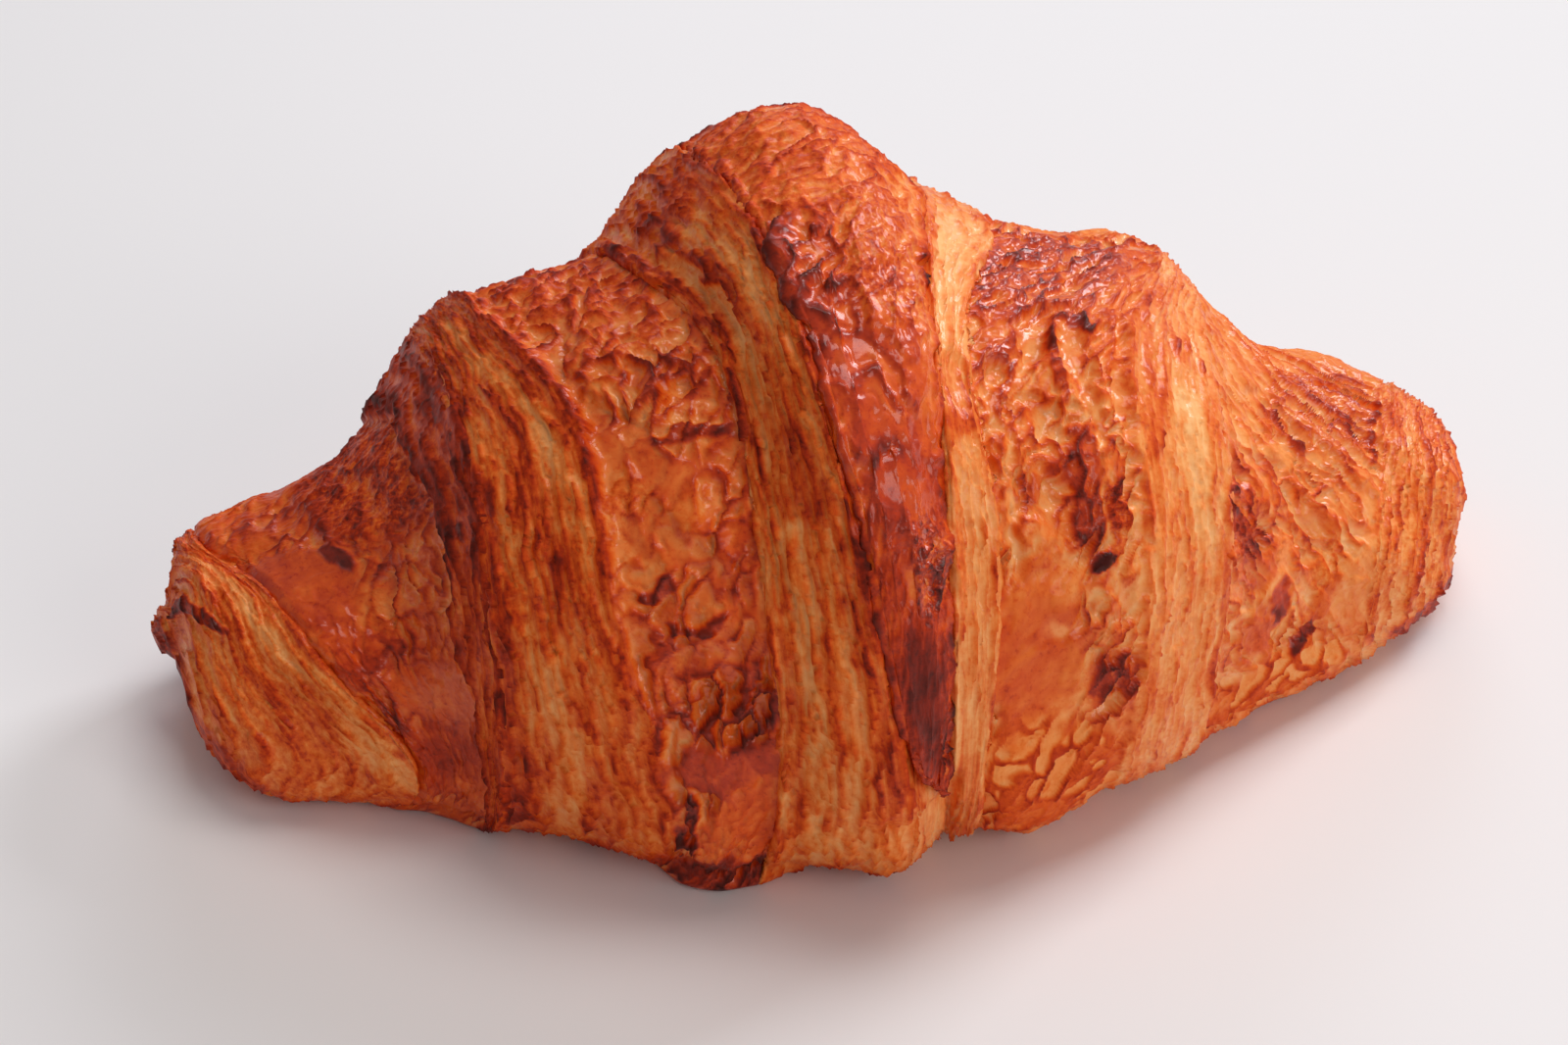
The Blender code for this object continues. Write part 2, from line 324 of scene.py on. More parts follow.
def crustSkin(place, form, seed):
    # the egg-washed outside: a thin skin that blistered, crumpled, cracked and came off in places
    across, angle, solid = place["across"], place["angle"], place["solid"]
    wornAcross, wornAngle = wornPlace(place, seed)
    warp = np.stack([softNoise(solid / 4.5, seed + n) for n in (1, 2, 3)], -1)
    warpFine = np.stack([softNoise(solid / 1.5, seed + n) for n in (21, 22, 23)], -1)
    swell = softNoise(solid / 12, seed + 5)
    slow = softNoise(solid / 7, seed + 13)

    shares = {
        "flakes": eased(form.get("flakes", 0.5) + 0.7 * softNoise(solid / 6, seed + 6)),
        "speckle": eased(form.get("speckle", 0.2) - 0.15 + 0.7 * softNoise(solid / 8, seed + 7)),
        "plates": np.full(across.shape, form.get("plates", 0.0)),
        "streaky": np.full(across.shape, form.get("streaky", 0.0)),
    }
    for mark in form.get("patches", ()):
        covered = patchShare(mark, wornAcross, wornAngle)
        for title in shares:
            if title in mark:
                shares[title] = mixed(shares[title], mark[title], covered)
    flakes, speckle, plates, streaky = shares.values()

    # blisters run round the roll, a little aslant
    run = across - form.get("slant", 0.3) * np.radians(angle) * 38
    q = np.stack([run, solid[..., 1], solid[..., 2]], -1) + 1.5 * warp + 0.45 * warpFine
    long = form.get("long", 2.2)
    wide = form.get("wide", 2.2)
    near, second, mark1, toward = cells(q / np.array([wide, wide * long, wide * long]), seed + 8)
    edge1 = second - near
    tall1 = eased((mark1 + 0.05) / 0.8)
    puff1 = eased(edge1 / 0.36) ** 0.6
    tilt1 = (toward[..., 0] * np.cos(mark1 * 40) + toward[..., 1] * np.sin(mark1 * 40)) * eased(edge1 / 0.15)
    near, second, mark2, toward = cells((q + 0.5 * warpFine) / np.array([1.05, 2.1, 2.1]), seed + 9)
    edge2 = second - near
    tall2 = eased(mark2 / 0.8)
    puff2 = eased(edge2 / 0.34) ** 0.8
    tilt2 = (toward[..., 0] * np.cos(mark2 * 50) + toward[..., 1] * np.sin(mark2 * 50)) * eased(edge2 / 0.2)
    crumple = np.abs(softNoise(q / np.array([1.5, 2.3, 2.3]), seed + 10))
    tiny = np.abs(softNoise(q / 0.7, seed + 11))
    middle = softNoise(q / 2.6, seed + 15)
    broken = eased(0.5 + 1.2 * softNoise(solid / 2.7, seed + 16))
    grain = softNoise(solid / 0.8, seed + 17)
    fine = softNoise(solid / 0.42, seed + 12)
    torn = softNoise(q / np.array([3.6, 5, 5]), seed + 50) + 0.4 * softNoise(q / 1.4, seed + 51)
    torn = eased((torn - form.get("torn", 0.15)) / 0.10)

    tall = form.get("blisterHeight", 1.15) * (0.10 + 0.90 * flakes)
    height = (form.get("swell", 0.5) * swell + 0.16 * middle
              + tall * (0.95 * puff1 * tall1 + 1.0 * tilt1 + 0.30 * puff2 * tall2 + 0.30 * tilt2 + 0.40 * crumple)
              + 0.14 * tiny - 0.24 * torn * (1 - 0.5 * flakes)
              + (0.02 + 0.14 * speckle) * grain + (0.01 + 0.07 * speckle) * fine)

    bake = form["bake"] + 0.07 * slow + 0.05 * middle + 0.03 * grain
    # valleys and cracks between blisters are darkened, and blister tops and crumple ridges are lightened: partly the
    # crust's own tone, partly painted shade and painted highlight
    bake = bake + flakes * (0.15 * crease(edge1, 0.17) * (0.3 + 0.7 * broken) + 0.08 * crease(edge2, 0.18) * broken
                            - 0.16 * (puff1 * tall1 - 0.4) - 0.10 * (mark1 - 0.5) - 0.12 * (mark2 - 0.5))
    bake = bake - 0.22 * (crumple - 0.25) * (0.4 + 0.6 * flakes) + form.get("tornBake", -0.10) * (torn - 0.3)
    bake = bake + speckle * (0.02 + 0.08 * fine + 0.10 * (tiny - 0.3))

    # flat pale plates with sunk browner gaps
    near, second, mark3, toward = cells((solid + 2.8 * warp + 0.5 * warpFine) / form.get("plateSize", 5.4), seed + 19)
    plate = eased((second - near - 0.10) / 0.11) * eased((0.80 - near) / 0.22)
    plate = plate * eased((mark3 - 0.12) / 0.12)             # some plates have come off
    plateBake = form.get("gapBake", 0.54) - 0.26 * plate + 0.04 * middle + 0.04 * grain + 0.10 * (mark3 - 0.5)
    height = height + plates * 0.34 * plate * (0.6 + 0.6 * mark3)
    bake = mixed(bake, plateBake, plates)

    strands = np.stack([run, solid[..., 1] / 8, solid[..., 2] / 8], -1)
    strand = softNoise(strands / 0.9, seed + 30) + 0.6 * softNoise(strands / 0.4, seed + 31)
    height = height + 0.13 * streaky * strand
    bake = bake - 0.12 * streaky * strand
    glaze = np.clip(0.3 + flakes * (0.5 * puff1 * tall1 + 0.3 * puff2 * tall2) - 0.3 * speckle - 0.3 * plates, 0, 1)
    return height, bake, glaze * form.get("glaze", 1.0), speckle


def cutLayers(place, form, seed):
    # a cut edge: thin torn layers of dough that lap over each other and run round the roll
    across, angle, solid = place["across"], place["angle"], place["solid"]
    ring = np.stack([across * 0, solid[..., 1], solid[..., 2]], -1)
    sideways = across[..., None] * np.array([1.0, 0, 0])
    wander = 1.0 * softNoise(ring / 17 + sideways * 0.03, seed + 1)
    wander = wander + 0.45 * softNoise(ring / 6 + sideways * 0.15, seed + 2)
    wander = wander + 0.22 * softNoise(ring / 2.2 + sideways * 0.6, seed + 11)
    u = across + wander

    def streaks(wide, long, n):
        return softNoise(np.stack([u / wide, solid[..., 1] / long, solid[..., 2] / long], -1), seed + n)

    wide = form.get("layer", 0.9)
    chips = np.stack([u / wide, solid[..., 1] / 6.5, solid[..., 2] / 6.5], -1)
    chips = chips + 0.3 * softNoise(solid / 2.5, seed + 12)[..., None]
    near, second, mark, toward = cells(chips, seed + 20)
    border = crease(second - near, 0.14) * eased(0.4 + softNoise(solid / 2, seed + 13))
    broad = streaks(2.4, 15, 5)
    medium = streaks(1.1, 8, 6)
    thin = streaks(0.5, 5, 7)
    hair = streaks(0.28, 3, 8)
    slit = eased((streaks(0.6, 5, 14) - 0.26) / 0.2) * eased(0.4 + 1.4 * softNoise(solid / 4, seed + 16))
    broken = softNoise(solid / np.array([1.0, 2.0, 2.0]), seed + 9)
    grain = softNoise(solid / 0.6, seed + 10)
    rough = form.get("step", 1.0)
    height = (rough * (0.36 * (mark - 0.5) + 0.55 * toward[..., 0] - 0.10 * border) + 0.26 * broad + 0.20 * medium
              + 0.13 * thin - 0.26 * slit + 0.11 * broken + 0.06 * grain)
    # the grooves between chips and the slits are darkened: partly darker layers of dough, partly painted shade in the
    # grooves
    bake = (form["bake"] + 0.12 * (mark - 0.5) - 0.08 * broad - 0.08 * medium - 0.07 * thin + 0.06 * hair
            + 0.08 * border + 0.12 * slit + 0.05 * softNoise(solid / 9, seed + 15) + 0.07 * broken + 0.06 * grain)
    glaze = np.full_like(across, form.get("glaze", 0.12)) + 0.2 * medium
    return height, bake, glaze, np.full_like(across, form.get("speckle", 0.3))


def addMarks(place, form, height, bake, glaze, seed):
    # the strips, stains, blisters and hollows that the wrap has in fixed places; some of them are painted shade or
    # painted highlight
    across, angle = wornPlace(place, seed)
    solid = place["solid"]
    fray = 0.8 + 0.5 * softNoise(solid / np.array([1.2, 7, 7]), seed + 45) + 0.3 * softNoise(solid / 1.3, seed + 46)
    for mark in form.get("strips", ()):
        share = stripShare(mark, mixed(place["across"], across, 0.7), angle) * np.clip(fray, 0, 1)
        share = share * mark.get("strength", 0.9)
        bake = mixed(bake, mark["bake"] + 0.55 * (bake - form["bake"]), share)
        height = height + mark.get("height", 0) * share
    for mark in form.get("patches", ()):
        share = patchShare(mark, across, angle) * mark.get("strength", 1)
        if "bake" in mark:
            bake = mixed(bake, mark["bake"] + 0.7 * (bake - form["bake"]), share)
        height = height * (1 - mark.get("calm", 0) * share) + mark.get("height", 0) * share
        if "glaze" in mark:
            glaze = mixed(glaze, mark["glaze"], share)
    # a blister's top takes its own bake, and the palest ones are partly painted highlights; the darker ring at its foot
    # is painted shade
    for mark in form.get("blisters", ()):
        share = patchShare({**mark, "soft": 1.0}, across, angle)
        ring = share * (1 - share) * 4
        height = height * (1 - 0.65 * share) + mark["height"] * np.sqrt(np.clip(share, 0, 1))
        bake = mixed(bake, form["bake"] + mark.get("bake", 0), 0.6 * share) + mark.get("rim", 0.08) * ring
        glaze = mixed(glaze, 1, share * 0.6)
    return height, bake, glaze


# ---- making a wrap ----

def rowPlaces(stops):
    # the rows of a wrap, from one closed end to the other: t, offset and share
    table = np.array(stops, float)
    along = np.concatenate([[0], np.cumsum(table[:-1, 3])])
    first, second = factors(int(along[-1]) - 2)
    rows = np.linspace(1, along[-1] - 1, first * second + 1)
    return tuple(np.interp(rows, along, table[:, n]) for n in range(3))


def spokeAngles(count):
    # closer together on the front and on top than under the base
    fine = np.linspace(-90, 270, 1441)
    under = eased((-38 - fine) / 12) + eased((fine - 205) / 15)
    dense = np.cumsum(1 - 0.66 * under - 0.25 * eased((fine - 120) / 20) * (1 - under))
    dense = (dense - dense[0]) / (dense[-1] - dense[0])
    return np.interp(np.arange(count) / count, dense, fine)


def factors(rows):
    # two numbers of cuts that divide a tube into at least that many rows
    first = int(math.sqrt(rows))
    return first, math.ceil(rows / first)


def tubeGrid(name, spokes, rings):
    # a closed tube, cut into rows, with the row and the spoke of every vertex
    bpy.ops.object.select_all(action="DESELECT")
    bpy.ops.mesh.primitive_cylinder_add(vertices=spokes, radius=1, depth=2, end_fill_type="TRIFAN")
    piece = bpy.context.object
    piece.name = name
    piece.data.name = name
    bpy.ops.object.mode_set(mode="EDIT")
    bpy.ops.mesh.select_mode(type="EDGE")
    for cuts in factors(rings - 1):
        bpy.ops.mesh.select_all(action="DESELECT")
        body = bmesh.from_edit_mesh(piece.data)
        for edge in body.edges:
            a, b = (v.co for v in edge.verts)
            edge.select = abs(a.z - b.z) > 1e-6
        bmesh.update_edit_mesh(piece.data)
        if cuts > 1:
            bpy.ops.mesh.subdivide(number_cuts=cuts - 1)
    bpy.ops.object.mode_set(mode="OBJECT")
    flat = np.empty(len(piece.data.vertices) * 3, np.float32)
    piece.data.vertices.foreach_get("co", flat)
    co = flat.reshape(-1, 3).astype(float)
    first, second = factors(rings - 1)
    ring = np.rint((co[:, 2] + 1) / 2 * first * second).astype(int)
    spoke = np.rint(np.arctan2(co[:, 1], co[:, 0]) / (2 * np.pi) * spokes).astype(int) % spokes
    atPole = np.hypot(co[:, 0], co[:, 1]) < 0.5
    ring[atPole & (ring == 0)] = -1
    ring[atPole & (ring > 0)] += 1
    return piece, ring, spoke


def normalsOf(p):
    alongRows = np.gradient(p, axis=0)
    alongSpokes = (np.roll(p, -1, axis=1) - np.roll(p, 1, axis=1)) / 2
    normal = np.cross(alongSpokes, alongRows)
    return normal / np.maximum(np.linalg.norm(normal, axis=-1, keepdims=True), 1e-9)


def smoothed(grid, times):
    for _ in range(times):
        sides = np.vstack([grid[:1], grid[:-1]]) + np.vstack([grid[1:], grid[-1:]])
        grid = (2 * grid + sides + np.roll(grid, 1, axis=1) + np.roll(grid, -1, axis=1)) / 6
    return grid


def makeWrap(form):
    name = form["name"]
    t, offset, share = rowPlaces(form["stops"])
    angle = spokeAngles(form["spokes"])
    lift = np.repeat(offset[:, None], len(angle), axis=1)
    if "shapeOffset" in form:
        lift = form["shapeOffset"](t, angle, lift)
    p = formPoints(t, angle, lift, share, form.get("flapShare", 0.0))
    normal = normalsOf(p)

    across = np.interp(t, edgeArray, acrossOfEdges)[:, None] + np.zeros(len(angle))
    turned = np.zeros(len(t))[:, None] + angle
    solid = np.stack([across, p[..., 1], p[..., 2]], -1)
    place = {"t": t[:, None] + np.zeros(len(angle)), "across": across, "angle": turned, "solid": solid}

    # each zone's relief, with a wavy line between a skin and its cut edge
    height = np.zeros(across.shape)
    bake = np.zeros(across.shape)
    glaze = np.zeros(across.shape)
    layered = np.zeros(across.shape)
    speckle = np.zeros(across.shape)
    wobble = 0.8 * softNoise(solid / 5, form["seed"] + 77) + 0.5 * softNoise(solid / 1.9, form["seed"] + 78)
    for number, zone in enumerate(form["zones"]):
        low, high = (np.interp(edge, edgeArray, acrossOfEdges) for edge in zone["span"])
        share1 = eased((across + wobble - low) / 0.5 + 0.5) if number else np.ones(across.shape)
        seed = form["seed"] + 101 * number
        maker = cutLayers if zone["kind"] == "layers" else crustSkin
        h, b, g, f = maker(place, zone, seed)
        h, b, g = addMarks(place, zone, h, b, g, seed)
        rise = zone.get("rise", 0.0)
        if zone["kind"] == "skin" and rise:
            fromEdge = np.minimum(across + wobble - low, high - across - wobble) if zone.get("bothEdges") else (
                across + wobble - low if number else high - across - wobble)
            h = h + rise * np.sqrt(eased(fromEdge / 1.4)) + 0.2 * np.exp(-((fromEdge - 0.7) / 0.6) ** 2)
            # a thin darker line along the skin's edge: partly a burnt edge, partly painted shade under the lip
            b = b + 0.06 * np.exp(-((fromEdge - 0.15) / 0.35) ** 2)
        height = mixed(height, h, share1)
        bake = mixed(bake, b, share1)
        glaze = mixed(glaze, g, share1)
        speckle = mixed(speckle, f, share1)
        layered = mixed(layered, float(zone["kind"] == "layers"), share1)

    # painted shade: hollows are darkened in the bake-and-shade tone; they also stay dull, and tops catch the egg wash
    hollow = smoothed(height, 28) - height
    bake = bake + np.clip(0.42 * hollow, -0.12, 0.2)
    glaze = glaze - 0.5 * hollow
    shown = eased((offset + 1.6) / 1.2)[:, None] * (share > 0.95)[:, None] * eased((lift - offset[:, None] + 2.4) / 1.8)
    nearBase = eased(p[..., 2] / 2.5)
    p = p + normal * (height * shown * nearBase)[..., None]
    under = eased((-offset - 0.5) / 1.5)[:, None]            # painted shade: what is tucked under the next wrap is darkened
    bake = bake + 0.16 * under
    p[..., 2] = np.maximum(p[..., 2], 0)
    bake = mixed(bake, 0.62, (1 - eased(p[..., 2] / 0.8)) * 0.7)

    piece, ring, spoke = tubeGrid(name, len(angle), len(t))
    poles = [form["stops"][0][0], form["stops"][-1][0]]
    co = np.empty((len(ring), 3))
    inside = (ring >= 0) & (ring < len(t))
    co[inside] = p[ring[inside], spoke[inside]]
    for end, where in ((0, ring < 0), (1, ring >= len(t))):
        x = poles[end]
        co[where] = (x, middleAt(x), bellyAt(x))
    co = (co + formShift) * toMetres
    mesh = piece.data
    mesh.vertices.foreach_set("co", co.astype(np.float32).ravel())

    values = {"bake": bake, "glaze": np.clip(glaze, 0, 1), "layered": layered, "speckle": speckle}
    for title, grid in values.items():
        data = np.full(len(ring), 0.5, np.float32)
        data[inside] = grid[ring[inside], spoke[inside]]
        mesh.attributes.new(title, "FLOAT", "POINT").data.foreach_set("value", data)
    run = np.zeros((len(ring), 3), np.float32)
    run[inside, 0] = across[ring[inside], spoke[inside]]
    run[inside, 1] = np.radians(turned[ring[inside], spoke[inside]]) * 38
    mesh.attributes.new("wrapPlace", "FLOAT_VECTOR", "POINT").data.foreach_set("vector", run.ravel())
    mesh.update()

    bpy.ops.object.mode_set(mode="EDIT")
    bpy.ops.mesh.select_all(action="SELECT")
    bpy.ops.mesh.normals_make_consistent(inside=False)
    bpy.ops.object.mode_set(mode="OBJECT")
    bpy.ops.object.shade_smooth()
    print(name, "made:", len(mesh.vertices), "vertices")
    return piece


# ---- the wraps, from the left tip to the right one ----

# the left wraps have a darker bake than the right ones: partly their own browning, partly painted shade on the side
# away from the window
leftTipRoll = {
    "name": "leftTipRoll", "seed": 100, "spokes": 420,
    "stops": ((-77.0, 0, 1, 12), (-76.0, 0, 1, 90), (-70.3, 0, 1, 5), (-69.4, -1.2, 1, 3),
              (-68.4, -3, 1, 2), (-67.5, -4, 0.6, 1), (-67, -4, 0, 1)),
    "zones": (
        {"kind": "layers", "span": (-77, -68), "bake": 0.44, "layer": 1.1, "glaze": 0.2, "speckle": 0.6, "step": 0.8,
         "strips": ({"path": ((-72.0, 95), (-72.2, 60), (-71.3, 35), (-70.8, 10), (-71.0, -25)), "width": 2.7, "bake": 0.19},
                    {"path": ((-70.2, 90), (-70.2, -40)), "width": 0.7, "bake": 0.56},
                    {"path": ((-74.6, 20), (-74.4, -30)), "width": 2.0, "bake": 0.40},),
         "patches": ({"at": (-74.6, 45), "size": (1.3, 8), "bake": 0.76, "slant": 1.6, "height": -0.4},
                     {"at": (-76.9, 30), "size": (1.5, 60), "bake": 0.76, "strength": 0.8},
                     {"at": (-76, -30), "size": (3, 10), "bake": 0.62},)},
    ),
}

leftOuterWrap = {
    "name": "leftOuterWrap", "seed": 200, "spokes": 500,
    "stops": ((-64, -6, 0, 1), (-65, -5, 0.7, 2), (-68.0, -3.4, 1, 4), (-70.2, -2.4, 1, 3),
              (-70.9, -1.4, 1, 3), (-71.0, -0.5, 1, 3), (-70.7, 0.1, 1, 3), (-70.2, 0.3, 1, 100),
              (-42.8, 0, 1, 4), (-41.8, -1.2, 1, 3), (-40.6, -3, 1, 2), (-39.6, -5, 0.7, 1),
              (-39, -6, 0, 1)),
    "zones": (
        {"kind": "skin", "span": (-71, -46), "bake": 0.53, "flakes": 0.4, "speckle": 0.1, "rise": 0.7,
         "swell": 0.6, "blisterHeight": 0.8, "slant": 0.1,
         "strips": ({"path": ((-53.2, 100), (-53.7, 80), (-54.2, 62)), "width": 1.5, "bake": 0.38, "height": 0.5},
                    {"path": ((-58.4, 110), (-58.4, 90), (-58.8, 70)), "width": 1.3, "bake": 0.70, "height": -0.4},),
         "patches": ({"at": (-50.5, 98), "size": (6, 30), "speckle": 1.0, "flakes": 0.3, "bake": 0.64, "glaze": 0.2},
                     {"at": (-64, 98), "size": (6, 26), "streaky": 0.8, "bake": 0.50},
                     {"at": (-64.5, 52), "size": (5.5, 14), "flakes": 0.0, "speckle": 0.0, "bake": 0.57, "calm": 0.6,
                      "glaze": 0.6},
                     {"at": (-59.8, 60), "size": (1.2, 6.5), "bake": 0.76, "slant": 0.6, "height": -0.3},
                     {"at": (-52, 40), "size": (6.5, 13), "flakes": 0.7, "speckle": 0.2, "bake": 0.48},
                     {"at": (-55, 46), "size": (1.2, 5), "bake": 0.62, "slant": -0.5, "flakes": 1.0},
                     {"at": (-65, 22), "size": (3.5, 9), "bake": 0.60, "flakes": 0.2},
                     {"at": (-66, 3), "size": (3, 7), "bake": 0.62, "flakes": 0.8, "slant": -0.6},
                     {"at": (-52, 5), "size": (7, 6.5), "flakes": 0.0, "speckle": 0.0, "bake": 0.49, "glaze": 0.7},
                     {"at": (-56, -12), "size": (9, 6), "flakes": 0.2, "bake": 0.60},
                     {"at": (-47, -10), "size": (2.5, 5), "flakes": 0.2, "bake": 0.66},
                     {"at": (-51, -22), "size": (5, 4.5), "flakes": 0.1, "bake": 0.50},
                     {"at": (-64, -22), "size": (5, 8), "flakes": 0.1, "bake": 0.62})},
        {"kind": "layers", "span": (-48, -42), "bake": 0.64, "layer": 0.8, "step": 0.7, "glaze": 0.1,
         "patches": ({"at": (-45, 92), "size": (3, 22), "bake": 0.66},
                     {"at": (-46, -10), "size": (3, 14), "bake": 0.56},)},
    ),
}

leftInnerWrap = {
    "name": "leftInnerWrap", "seed": 300, "spokes": 600,
    "stops": ((-38.4, -6, 0, 1), (-39, -5, 0.7, 2), (-41.0, -3.4, 1, 3), (-42.7, -2.4, 1, 3),
              (-43.3, -1.5, 1, 3), (-43.4, -0.7, 1, 3), (-43.1, -0.1, 1, 3), (-42.6, 0, 1, 42),
              (-36.6, 0, 1, 60), (-20, 0, 1, 4), (-19.2, -1.2, 1, 3), (-18.2, -3, 1, 2),
              (-17, -5, 0.7, 1), (-16.4, -6, 0, 1)),
    "zones": (
        {"kind": "layers", "span": (-43, -36.6), "bake": 0.48, "layer": 0.8,
         "strips": ({"path": ((-40.2, 108), (-39.6, 88), (-38.4, 66), (-37.8, 40)), "width": 2.1, "bake": 0.24},
                    {"path": ((-41.6, 62), (-41.4, 38)), "width": 1.5, "bake": 0.38},
                    {"path": ((-42.4, 100), (-42.2, -30)), "width": 1.2, "bake": 0.70},
                    {"path": ((-40.0, 20), (-40.1, -5), (-40.4, -38)), "width": 2.4, "bake": 0.28},
                    {"path": ((-37.9, 14), (-38.0, -38)), "width": 1.8, "bake": 0.34},
                    {"path": ((-40.0, 72), (-39.6, 30)), "width": 1.3, "bake": 0.68},)},
        {"kind": "skin", "span": (-36.6, -19), "bake": 0.46, "flakes": 0.6, "speckle": 0.2, "rise": 0.6,
         "wide": 2.8, "long": 1.9, "blisterHeight": 1.35,
         "patches": ({"at": (-28, 94), "size": (10, 10), "flakes": 0.8, "speckle": 0.4, "bake": 0.45},
                     {"at": (-28, 70), "size": (9, 14), "flakes": 0.8, "bake": 0.42},
                     {"at": (-26.5, 64.5), "size": (3.4, 3.2), "bake": 0.58, "flakes": 1.0, "height": -0.3},
                     {"at": (-30, 40), "size": (8, 9), "flakes": 0.35, "bake": 0.42},
                     {"at": (-26.5, 51), "size": (4.4, 1.2), "bake": 0.64, "height": -0.5, "tilt": 0.8},
                     {"at": (-23, 36), "size": (2.6, 8), "bake": 0.51, "flakes": 0.6},
                     {"at": (-32.5, 28), "size": (1.6, 1.3), "bake": 0.70, "height": -0.4},
                     {"at": (-28, 14), "size": (8, 10), "flakes": 0.5, "bake": 0.50},
                     {"at": (-28.5, 20), "size": (3.2, 0.8), "bake": 0.62, "height": -0.3},
                     {"at": (-27, 3), "size": (8, 3.6), "flakes": 1.0, "bake": 0.54},
                     {"at": (-27.5, -8), "size": (8, 3.6), "flakes": 0.0, "speckle": 0.0, "bake": 0.60, "glaze": 0.5},
                     {"at": (-34.8, -19), "size": (1.3, 4), "bake": 0.76, "height": -0.6},
                     {"at": (-26, -20), "size": (6, 4.5), "bake": 0.50, "flakes": 0.1},
                     {"at": (-20.2, 60), "size": (1.5, 70), "calm": 0.7, "height": 0.15},
                     {"at": (-27, -36), "size": (8, 5), "bake": 0.74, "streaky": 1.0},),
         # raised blisters; the palest of them are partly painted highlights
         "blisters": ({"at": (-26, 82.5), "size": (1.6, 4.2), "slant": -1.0, "height": 0.8, "bake": -0.14},
                      {"at": (-24.2, 81), "size": (0.8, 2.8), "slant": -1.2, "height": 0.9, "bake": -0.16},
                      {"at": (-35, 78), "size": (1.0, 4.6), "slant": -1.4, "height": 0.8, "bake": -0.10},
                      {"at": (-32, 83.5), "size": (1.0, 5.0), "slant": -1.6, "height": 0.9, "bake": -0.14},
                      {"at": (-35.8, 67.5), "size": (1.7, 2.8), "height": 0.9, "bake": -0.02},
                      {"at": (-30, 68), "size": (1.5, 3.0), "slant": 0.3, "height": 0.8, "bake": -0.05},
                      {"at": (-33.2, 53.5), "size": (3.2, 4.4), "slant": 0.4, "height": 0.8, "bake": -0.04},
                      {"at": (-31.6, 55.5), "size": (1.1, 1.3), "height": 0.7, "bake": -0.12},
                      {"at": (-24.3, 58), "size": (1.6, 2.6), "slant": 0.5, "height": 0.6, "bake": -0.06},
                      {"at": (-28.2, 45.5), "size": (3.6, 1.9), "tilt": 0.4, "height": 0.7, "bake": -0.02},
                      {"at": (-28.8, 33), "size": (2.1, 6.4), "slant": 1.3, "height": 0.9, "bake": -0.06},
                      {"at": (-33.4, 37.5), "size": (1.8, 3.4), "slant": 0.6, "height": 0.6, "bake": -0.05},
                      {"at": (-31.4, 14), "size": (2.6, 2.6), "height": 0.6, "bake": 0.0},
                      {"at": (-26.2, 13), "size": (2.0, 3.4), "height": 0.6, "bake": -0.02},
                      {"at": (-36, 12), "size": (1.2, 3.2), "height": 0.5, "bake": -0.12},)},
    ),
}

def underFlap(t, angle, lift):
    # the wrap draws in where the flap lies on it
    covered = eased((t + 11.3) / 2.5) * eased((13.4 - t) / 2.3)
    return lift - 2.6 * covered[:, None] * eased((angle[None, :] + 17) / 7)


